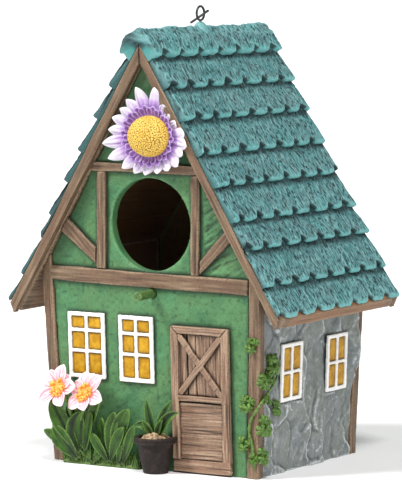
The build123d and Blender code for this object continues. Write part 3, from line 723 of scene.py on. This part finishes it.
def boards(points, normals):
    """Upright planks over wavy, lapped slats."""
    upright = timber((0, 0, 1), 33, 0.3, 0.2)(points, normals)
    level = timber((1, 0, 0.02), 34, 0.3, 0.2)(points, normals)
    return tuple(np.where(points[:, 2] < 38, b, a) for a, b in zip(upright, level))


WINDOWS = ("front_left_window_frame", "front_right_window_frame", "left_window_frames", "right_window_frames")


def walls_and_joinery():
    # Each piece gets painted shade where it meets the nodes listed beside it
    front = ("tie_beam", "collar_beam", "left_stud", "right_stud", "left_brace", "right_brace",
             "front_left_post", "front_right_post", "front_barge_left", "front_barge_right", *WINDOWS[:2],
             "door_frame", "plant_pot", "garden_leaves", "daisy_petals")
    rear = ("rear_left_post", "rear_right_post", "rear_barge_left", "rear_barge_right", "cleanout_cover")
    carved("front_wall", "green_stucco", stucco, 0.75, 1, (5, 0.2), front, 2.2, eave_and_door_shade, painted)
    carved("rear_wall", "green_stucco", stucco, 0.75, 1, (5, 0.2), rear, along=painted)
    for node, side in (("left_wall", -1), ("right_wall", 1)):
        beside = (node.replace("wall", "window_frames"), "ivy", "front_right_post", "front_left_post")
        carved(node, "carved_stone", stone_cut(side), 0.6, 1, (5, 0.3), beside, 1.2, along=side_outside,
               bulge=over_post if side > 0 else None)
    carved("floor_plate", "base_resin", roughened(0.15, 4, 2, 61), voxel=0.9)
    carved("door_frame", "door_timber", mitred, voxel=0.35, relief=(6, 0.22))
    carved("door_boards", "door_timber", boards, 0.3, 1, (6, 0.2), ("door_frame", "door_cross_brace"), 1.3)
    carved("door_cross_brace", "door_timber", timber((1, 0, 1), 35, 0.1, 0.1), voxel=0.3, relief=(6, 0.22))
    for node in WINDOWS:
        carved(node, "white_frame", roughened(0.09, 1.6, 1.2, 63, 2), voxel=0.3, relief=(6, 0.3))
    carved("window_panes", "amber_pane", roughened(0.08, 2.5, 2, 67, 2), voxel=0.4, beside=WINDOWS)
    carved("perch_peg", "perch_green", roughened(0.12, 1.5, 1, 65), voxel=0.3)


# --- leaves, petals and flowers -------------------------------------------------------------------
def blade(root, tip, width, bow, facing, widest, cup=0.25, thick=0.9, blunt=0.8, ribs=0, steps=16, across=10,
          seed=0, foot=0.15):
    """A leaf or petal: a thin closed blade from root to tip, bowed, cupped, and ribbed or with a midrib.

    It's widest at that share of its length, and foot is how wide its root stays. Its tip is rounder with a
    lower blunt."""
    t = np.linspace(0, 1, steps)
    root, tip, bow = (np.array(v, float) for v in (root, tip, bow))
    centre = bezier([root, (root + tip) / 2 + bow, tip], t)
    ahead = units(np.gradient(centre, axis=0))
    side = units(np.cross(ahead, np.array(facing, float)))
    out = np.cross(side, ahead)
    power = math.log(0.5) / math.log(widest)
    swell = np.sin(math.pi * np.clip(t, 0.002, 0.998) ** power) ** blunt
    half = width / 2 * np.maximum(swell, foot * (1 - t) + 0.05)
    u = np.linspace(-1, 1, across + 1)
    wave = noise_at(u * 2 + 5, seed, 0, seed)[None, :] * 0.04 * width
    rib = 0.16 * np.cos(ribs * math.pi * u)[None, :] if ribs else 0.0
    lift = cup * half[:, None] * u[None, :] ** 2 + wave * t[:, None]
    body = thick / 2 * np.sqrt(np.clip(1 - u ** 4, 0.03, 1))[None, :] * np.maximum(1 - 0.5 * t, 0.3)[:, None]
    spine = centre[:, None, :] + side[:, None, :] * (half[:, None] * u[None, :])[..., None]
    midrib = 0.3 * thick * np.exp(-(u / 0.16) ** 2)[None, :] * (1 - t)[:, None] * (-1 if not ribs else 0)
    high = lift + body + rib * (1 - t)[:, None] * t[:, None] * 3 + midrib
    front = spine + out[:, None, :] * high[..., None]
    back = spine + out[:, None, :] * (lift - body)[..., None]
    rings = np.concatenate([front, back[:, ::-1]], axis=1)
    points, faces = loft(rings)
    return points, faces, np.repeat(t, rings.shape[1])


def tube(path, radii, sides=10):
    """A round stem along a path of points."""
    path = np.asarray(path, float)
    ahead = units(np.gradient(path, axis=0))
    side = units(np.cross(ahead, unit((0.31, 0.2, 0.93))))
    out = np.cross(side, ahead)
    turn = circle(sides)
    radii = np.broadcast_to(radii, len(path))
    spokes = side[:, None] * np.cos(turn)[None, :, None] + out[:, None] * np.sin(turn)[None, :, None]
    points, faces = loft(path[:, None] + radii[:, None, None] * spokes)
    return points, faces, np.repeat(np.linspace(0, 1, len(path)), sides)


def dome(centre, normal, up, radius, rise, bumps, rings, sides, squash=1.0):
    """A dome with a flat back; bumps gives its surface detail from the place on its base."""
    normal, up = unit(normal), unit(np.array(up, float) - np.dot(up, unit(normal)) * unit(normal))
    right = np.cross(up, normal)
    turn = circle(sides)
    shape = []
    for f in np.sin(np.linspace(math.pi / 2, 0.02, rings)):
        round_it = radius * f * np.stack([np.cos(turn), np.sin(turn) * squash], 1)
        flat = right[None] * round_it[:, :1] + up[None] * round_it[:, 1:]
        height = rise * math.sqrt(max(1 - f * f, 0)) + bumps(round_it)
        shape.append(np.array(centre) + flat + normal * height[:, None])
    base = np.array(centre) + (shape[0] - centre) * 0.97 - normal * 1.0
    points, faces = loft([base] + shape)
    return points, faces, np.repeat(np.linspace(0, 1, rings + 1), sides)


def rooted(shape):
    """The same shape, coloured all over as a petal's root."""
    return shape[0], shape[1], shape[2] * 0


DAISY = np.array((7.0, -61.4, 170.7))
# The petals' tips: turn anticlockwise from +X in degrees, distance from the centre, and curl out of the gable
DAISY_PETALS = [(4, 21.5, 2.4), (24, 17.0, 0.6), (44, 15.6, 0), (63, 17.6, 0), (83, 24.5, 1.0),
                (108, 25.5, 1.4), (126, 22.5, 1.8), (141, 21.5, 2.4), (157, 23.0, 2.6), (173, 23.5, 3.0),
                (189, 26.5, 4.2), (207, 26.0, 3.6), (227, 22.5, 2.6), (246, 20.5, 2.4), (265, 19.6, 2.4),
                (287, 19.4, 2.6), (305, 20.8, 2.6), (321, 23.0, 3.0), (337, 22.4, 2.4), (350, 23.8, 3.4)]
DISC_RADIUS, DISC_RISE, DISC_SQUASH = 11.9, 8.0, 0.87
DISC_GRAINS, GOLDEN_ANGLE = 560, 2.39996
FLORETS = 36


def around(degrees):
    """The direction this far round a flower on the gable."""
    a = math.radians(degrees)
    return np.array((math.cos(a), 0, math.sin(a)))


def stippled(flat):
    """Small round grains in a sunflower's spiral."""
    k = np.arange(DISC_GRAINS)
    turned = np.stack([np.cos(GOLDEN_ANGLE * k), DISC_SQUASH * np.sin(GOLDEN_ANGLE * k)], 1)
    spiral = np.sqrt(k / DISC_GRAINS)[:, None] * turned
    spiral = spiral * DISC_RADIUS + np.random.default_rng(3).normal(0, 0.24, spiral.shape)
    away = np.linalg.norm(flat[:, None] - spiral[None], axis=2).min(1)
    return 0.36 * np.clip(1 - (away / 0.5) ** 2, -0.35, 1)


def daisy():
    """The big flower on the gable: petals, a ring of short florets and a stippled disc."""
    petals = []
    for i, (degrees, reach, curl) in enumerate(DAISY_PETALS):
        ray = around(degrees)
        root = DAISY + ray * 8.5 + (0, 0.2 * (i % 2), 0)
        tip = DAISY + ray * reach + np.array((0, -curl, 0))
        petals.append(blade(root, tip, 7.6, (0, 1.6, 0), (0, -1, 0), 0.52, cup=-0.35, thick=1.3, blunt=0.68,
                            ribs=3, across=14, steps=22, seed=i, foot=0.5))
    for i in range(FLORETS):
        ray = around(360 // FLORETS * i + 5)
        root = DAISY + ray * 10.2 + (0, -1.2, 0)
        tip = DAISY + ray * (14.8 + 0.8 * (i % 2) + 0.5 * math.sin(3.1 * i)) + (0, -3.2, 0)
        p, f, t = blade(root, tip, 3.8, (0, 0.9, 0), (0, -1, 0), 0.7, cup=0.3, thick=1.0, blunt=0.5, steps=9,
                        across=6, seed=i, foot=0.5)
        petals.append((p, f, 0.12 + t * 0.32))
    boss = [DAISY + (0, back, 0) for back in (5.5, 2.0, -1.2)]
    petals.append(rooted(tube(boss, [7, 7, 11.6], 32)))
    piece("daisy_petals", join(petals), "daisy_petal", (3, 0.18))
    disc = dome(DAISY + (0.9, -1.4, 0), (0.16, -1, 0), (0, 0, 1), DISC_RADIUS, DISC_RISE, stippled, 60, 190,
                DISC_SQUASH)
    piece("daisy_disc", disc, "daisy_disc", (3, 0.12))


FLOWER_FACING = unit((-0.15, -0.93, 0.33))
# Each flower: centre, and its petals' turn and reach
FLOWERS = [((-50.2, -60.6, 39.2),
            [(143, 13.5), (86, 12.6), (180, 11.2), (216, 13.2), (12, 11.0), (300, 10.5), (48, 9.5)]),
           ((-34.0, -59.8, 37.8),
            [(105, 11.8), (45, 13.4), (347, 12.4), (228, 12.0), (160, 10.6), (285, 9.5), (75, 11.0)])]
STAMENS, STAMEN_RING = 44, 4.5
STAMEN_RADII = [0.75, 0.72, 0.66, 0.62, 0.66, 0.72, 0.3]


def flowers():
    """The two pink flowers, each with petals, a cup and a tuft of stamens."""
    petals, centres = [], []
    rng = np.random.default_rng(5)
    n = FLOWER_FACING
    up = unit(np.array((0, 0, 1.0)) - n * n[2])
    right = np.cross(up, n)
    right = right if right[0] > 0 else -right
    for f, (spot, turns) in enumerate(FLOWERS):
        spot = np.array(spot)
        for i, (degrees, reach) in enumerate(turns):
            a = math.radians(degrees)
            ray = right * math.cos(a) + up * math.sin(a)
            tip = spot + ray * reach + n * (0.4 + 1.2 * (i % 2))
            petals.append(blade(spot + ray - n * 0.8, tip, 8.6, n * 1.8, n, 0.56, cup=0.3, thick=1.0,
                                blunt=0.7, ribs=5, across=16, steps=20, seed=i + 9 * f, foot=0.4))
        for _ in range(STAMENS):
            a, r = rng.uniform(0, 2 * math.pi), STAMEN_RING * math.sqrt(rng.uniform(0.02, 1))
            ray = right * math.cos(a) + up * math.sin(a)
            base = spot + ray * r * 0.8 + n * 0.2
            top = spot + ray * r * 1.12 + n * rng.uniform(2.3, 3.9)
            curl = np.cross(n, ray) * rng.uniform(-0.9, 0.9)
            path = bezier([base, (base + top) / 2 + curl, top], np.linspace(0, 1, len(STAMEN_RADII)))
            centres.append(tube(path, STAMEN_RADII, 8))
        centres.append(rooted(dome(spot, n, up, 4.4, 2.2, lambda at: 0 * at[:, 0], 8, 24)))
        petals.append(rooted(tube([spot - n * 2.4, spot - n * 0.4, spot + n * 0.6], [1.5, 3.4, 3.9], 20)))
    piece("flower_petals", join(petals), "pink_petal", (3, 0.2))
    piece("flower_centres", join(centres), "orange_centre", (3, 0.25))


# Leaves of the two clumps: root, tip, width, bow, facing
CLUMP_LEAVES = [
    ((-41.5, -55.0, 6.0), (-57.0, -58.6, 33.0), 8.2, (-1.5, -1.5, 1.0), (0.2, -1, 0.25)),
    ((-42.5, -55.5, 3.0), (-56.0, -58.3, 19.5), 9.5, (-0.5, -1.2, 1.0), (-0.2, -1, 0.2)),
    ((-46.5, -54.8, 4.0), (-62.4, -57.8, 16.6), 4.6, (1.5, -0.6, 4.0), (0, -1, 0.3)),
    ((-41.0, -54.5, 5.0), (-39.5, -56.8, 27.5), 9.0, (-6.0, -1.0, 1.0), (0.35, -1, 0)),
    ((-39.0, -55.2, 5.0), (-33.0, -57.4, 28.0), 6.8, (2.6, -1.2, 3.0), (-0.5, -1, 0.1)),
    ((-40.0, -53.5, 12.0), (-27.0, -57.8, 34.5), 6.0, (-1.0, 0.0, 2.5), (0.2, -0.8, 0.6)),
    ((-43.0, -53.5, 12.0), (-47.0, -55.6, 34.0), 7.0, (0, 0, 0), (0, -1, 0)),
    ((-23.0, -54.0, 5.0), (-27.2, -56.0, 25.5), 6.4, (-2.6, -0.6, 1.0), (-0.3, -1, 0)),
    ((-22.5, -54.6, 4.0), (-18.8, -57.0, 29.0), 6.6, (-1.0, -1.0, 1.0), (0.2, -1, 0)),
    ((-20.5, -54.0, 6.0), (-10.0, -56.6, 31.0), 7.6, (-3.2, -0.6, 2.0), (0.35, -1, 0.2)),
    ((-22.5, -55.4, 3.0), (-12.8, -57.4, 21.8), 5.4, (-0.4, -1.4, 1.4), (0.2, -1, 0.3)),
    ((-23.0, -56.0, 3.0), (-32.0, -58.2, 17.2), 4.8, (-1.2, -1.0, 1.6), (-0.1, -1, 0.2)),
    ((-16.0, -54.6, 3.0), (-7.0, -58.0, 19.5), 4.2, (-0.8, -1.0, 1.4), (0.1, -1, 0.2)),
    ((-15.0, -54.8, 2.0), (-5.6, -58.6, 23.4), 4.6, (1.0, -1.6, 2.0), (0.3, -1, 0.1)),
    ((-17.5, -55.2, 2.5), (-14.0, -57.4, 12.0), 3.2, (-0.6, -1.0, 0.6), (0, -1, 0.2)),
]


# The strip of turf along the wall's foot, and the grass on it
TURF_FROM, TURF_TO, TURF_STEPS = -52.4, -6.0, 80
GRASS_BLADES, SPRAY_BLADES = 230, 9


def planting():
    """The two leafy clumps with the flowers' stalks, and the turf and grass at their foot."""
    rng = np.random.default_rng(17)
    leaves = [blade(root, tip, 1.15 * width, bow, facing, 0.58, cup=0.3, thick=1.3, blunt=0.55, across=12,
                    steps=20, seed=i, foot=0.3)
              for i, (root, tip, width, bow, facing) in enumerate(CLUMP_LEAVES)]
    for spot, _ in FLOWERS:
        head = np.array(spot) - FLOWER_FACING * 2
        leaves.append(tube(bezier([(-42.5, -54.3, 3), (-44, -54.5, 22), head], np.linspace(0, 1, 14)), 1.1))
    piece("garden_leaves", join(leaves), "leaf_green", (3, 0.22))
    grass = []
    for k in range(GRASS_BLADES):
        x, y = rng.uniform(-52.3, -6.2), rng.uniform(-54.4, -51.2)
        height = rng.uniform(3.5, 8.5)
        lean = np.array((rng.normal(0, 1.3), rng.uniform(-0.5, 0.3), 0))
        root = np.array((x, y, 0.2))
        tip = root + lean + (0, 0, height)
        width = rng.uniform(1.1, 1.8)
        facing = (rng.normal(0, 0.4), -1, 0)
        grass.append(blade(root, tip, width, -lean * 0.3, facing, 0.3, thick=0.7, steps=6, across=4, seed=k,
                           foot=0.6))
    for k in range(SPRAY_BLADES):
        root = np.array((-34.5 + rng.uniform(-1.5, 1.5), -55.0, 0.6))
        a = math.radians(145 - 14 * k)
        tip = root + (11 * math.cos(a), -0.8, 11.5 * abs(math.sin(a)) + 1)
        grass.append(blade(root, tip, 1.1, (0, -0.4, 1), (0, -1, 0), 0.4, thick=0.7, steps=10, across=4,
                           seed=k, foot=0.6))
    turf = []
    for x in np.linspace(TURF_FROM, TURF_TO, TURF_STEPS):
        wave = 0.5 * noise(np.array([[x / 2.5, 0, 0], [x / 2.5, 5, 0]]), 8)
        turf.append([(x, -50.2, 0.05), (x, -50.2, 3.2), (x, -52.6, 3.0 + wave[0]), (x, -54.0, 1.9 + wave[1]),
                     (x, -54.7 - 0.3 * wave[0], 0.9), (x, -54.6, 0.05)])
    grass.append((*loft(turf), np.full(TURF_STEPS * len(turf[0]), 0.12)))
    piece("grass", join(grass), "leaf_green", (2, 0.2))


POT_TOP = np.array((6.5, -57.5, 17.2))
# Each leaf in the pot: tip, width and bow
POT_LEAVES = [((2.3, -59.6, 37.8), 4.4, (-1.2, 0, 3)), ((18.6, -59.4, 38.4), 4.0, (-2.5, 0, 3)),
              ((22.6, -60.2, 32.0), 5.4, (-1.5, -1, 6)), ((-5.2, -60.4, 22.4), 4.6, (2.0, -1, 8)),
              ((13.4, -61.6, 28.0), 3.6, (0.6, -1, 3)), ((1.2, -62.0, 27.0), 3.4, (-0.6, -1.2, 3))]


def crumbs(points, normals):
    """A small heap of pebbly soil."""
    out = np.linalg.norm(points[:, :2] - POT_TOP[:2], axis=1) / 8.5
    heap = 4.6 * np.clip(1 - out ** 2, 0, 1) + np.clip(0.75 * noise(points / 1.4, 83, 2), -0.5, 0.9)
    return heap * smoothstep(normals[:, 2], 0, 0.6), noise(points, 84)


def thrown(points, normals):
    """The faint level bands of a thrown pot."""
    return 0.16 * noise(stretched(points, (1, 0, 0), 9, 3), 81, 2), noise(points / 2, 82)


def pot():
    carved("plant_pot", "pot_brown", thrown, voxel=0.4, soften=3)
    carved("pot_soil", "pot_soil", crumbs, voxel=0.35, soften=1)
    leaves = []
    for i, (tip, width, bow) in enumerate(POT_LEAVES):
        root = POT_TOP + ((tip[0] - POT_TOP[0]) * 0.08, -0.3, 0)
        leaves.append(blade(root, tip, width, bow, (0.2, -1, 0.25), 0.42, cup=0.5, across=8, steps=20, seed=i,
                            foot=0.4))
    leaves.append(tube([POT_TOP - (0, 0, 1), POT_TOP + (0, 0, 2), POT_TOP + (0, 0, 4)], [1.9, 1.8, 0.9], 14))
    piece("pot_leaves", join(leaves), "leaf_green", (3, 0.18))


# The stem climbs the front post and turns the corner on to the right wall
IVY_STEM = [on_front(61, 5.5, 1.6), on_front(60.3, 16.5, 1.6), on_front(58.1, 24.4, 1.6),
            on_front(59.8, 31, 1.8), np.array((64.8, -52.9, 37.0)), on_right(-45, 42.5, 1.8),
            on_right(-35.4, 49.4, 1.8), on_right(-33.7, 58.5, 1.8)]
IVY_STEPS = 60
IVY_FACING = unit((0.6, -0.75, 0.3))
LEAF_POINTS, LEAF_RINGS = 40, (1.0, 0.97, 0.8, 0.6, 0.4, 0.2, 0.04)
# Clusters of ivy leaves: on the front or the right wall, across, up, and size
IVY_LEAVES = [(on_front, 61.4, 68.0, 4.6), (on_front, 57.6, 38.2, 5.0), (on_front, 55.6, 17.9, 4.6),
              (on_right, -40.3, 57.5, 6.0), (on_right, -42.0, 51.0, 4.4), (on_right, -49.2, 49.4, 5.2),
              (on_right, -46.8, 26.8, 6.4), (on_right, -35.4, 34.6, 4.6), (on_right, -46.6, 12.0, 5.2),
              (on_right, -45.0, 40.0, 3.4), (on_front, 60.4, 10.5, 3.4)]


def lobed_leaf(centre, normal, up, radius, turn, seed):
    """A small five-lobed leaf, domed and veined."""
    normal = unit(normal)
    up = unit(np.array(up) - np.dot(up, normal) * normal)
    right = np.cross(up, normal)
    a = circle(LEAF_POINTS)
    lobes = radius * (0.64 + 0.4 * np.abs(np.cos(2.5 * (a - turn))) ** 1.3)
    rings = []
    for f in LEAF_RINGS:
        flat = right[None] * (f * lobes * np.cos(a))[:, None] + up[None] * (f * lobes * np.sin(a))[:, None]
        vein = 0.35 * f * np.abs(np.cos(2.5 * (a - turn))) ** 8
        height = 1.7 * (1 - f ** 2) - vein + 0.25 * noise(flat / 1.1, seed, 2) + (0.15 if f < 1 else -0.2)
        rings.append(centre + flat + normal * height[:, None])
    return (*loft(rings), np.repeat(np.linspace(0.8, 0.5, len(rings)), LEAF_POINTS))


def ivy():
    steps = np.linspace(0, len(IVY_STEM) - 1, IVY_STEPS)
    line = np.stack([np.interp(steps, range(len(IVY_STEM)), [p[k] for p in IVY_STEM]) for k in range(3)], 1)
    for _ in range(6):
        line[1:-1] = (line[:-2] + 2 * line[1:-1] + line[2:]) / 4
    parts = [tube(line, np.linspace(0.85, 0.55, IVY_STEPS) * (1 + 0.15 * np.sin(steps * 9)))]
    rng = np.random.default_rng(23)
    for plane, u, v, size in IVY_LEAVES:
        normal = unit((0, -1, -FLARE)) if plane is on_front else unit((1, 0, -FLARE))
        for k in range(4):
            a = rng.uniform(0, 1) + 2 * math.pi * k / 4
            du, dv = 0.5 * size * math.cos(a), 0.5 * size * math.sin(a)
            tilt = 0.6 * normal + 0.7 * IVY_FACING + 0.3 * rng.normal(0, 1, 3)
            place = plane(u + du, v + dv, 1.2 + 0.5 * k)
            parts.append(lobed_leaf(place, tilt, (0, 0.05, 1), size * 0.52, a, k))
    piece("ivy", join(parts), "leaf_green", (3, 0.2))


# --- stage ----------------------------------------------------------------------------------------
# Each light: where it shines from, its strength and its softness in degrees
LIGHTS = [("key", (-0.5, -0.6, 0.85), 3.0, 12),
          ("top", (0.35, -0.35, 0.87), 1.8, 14),
          ("fill", (0.82, -0.5, 0.35), 0.6, 50)]


def stage():
    """A plain pale floor under soft studio light."""
    bpy.ops.mesh.primitive_plane_add(size=120, location=(0, 0, 0))
    floor = bpy.context.object
    floor.name = "floor"
    mat = bpy.data.materials.new("pale_floor")
    mat.use_nodes = True
    shader = mat.node_tree.nodes["Principled BSDF"]
    shader.inputs["Base Color"].default_value = (0.93, 0.93, 0.93, 1)
    shader.inputs["Roughness"].default_value = 0.8
    floor.data.materials.append(mat)
    world = bpy.data.worlds.new("studio")
    bpy.context.scene.world = world
    world.use_nodes = True
    background = world.node_tree.nodes["Background"]
    background.inputs["Color"].default_value = (1, 1, 1, 1)
    background.inputs["Strength"].default_value = 0.32
    for name, source, strength, softness in LIGHTS:
        light = bpy.data.lights.new(name, "SUN")
        light.energy = strength
        light.angle = math.radians(softness)
        ob = placed(name, light)
        ob.rotation_mode = "QUATERNION"
        ob.rotation_quaternion = (-Vector(source)).to_track_quat("-Z", "Y")


def camera():
    data = bpy.data.cameras.new("camera")
    data.lens, data.sensor_width = LENS, SENSOR
    data.shift_x, data.shift_y = SHIFT
    data.clip_end = 200
    ob = placed("camera", data)
    place = Vector(CAMERA_AT) * MM
    aim = (Vector(LOOK_AT) * MM - place).to_track_quat("-Z", "Y").to_matrix().to_4x4()
    ob.matrix_world = Matrix.Translation(place) @ aim @ Matrix.Rotation(ROLL, 4, "Z")
    bpy.context.scene.camera = ob
    bpy.context.scene.view_settings.view_transform = "Standard"


for side in (-1, 1):
    for number in range(1, len(COURSE_BUTTS) + 1):
        shingle_course(number, side)
ridge_cap()
house_timbers()
walls_and_joinery()
daisy()
flowers()
planting()
pot()
ivy()

# The wires, the cover and its screw keep their CAD shapes
for node, slot in (("screw_eye", "dark_wire"), ("hanging_link", "dark_wire"),
                   ("cleanout_cover", "cover_resin"), ("cleanout_screw", "screw_steel")):
    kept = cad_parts[node]
    kept.data.materials.clear()
    kept.data.materials.append(materials[slot])

stage()
camera()
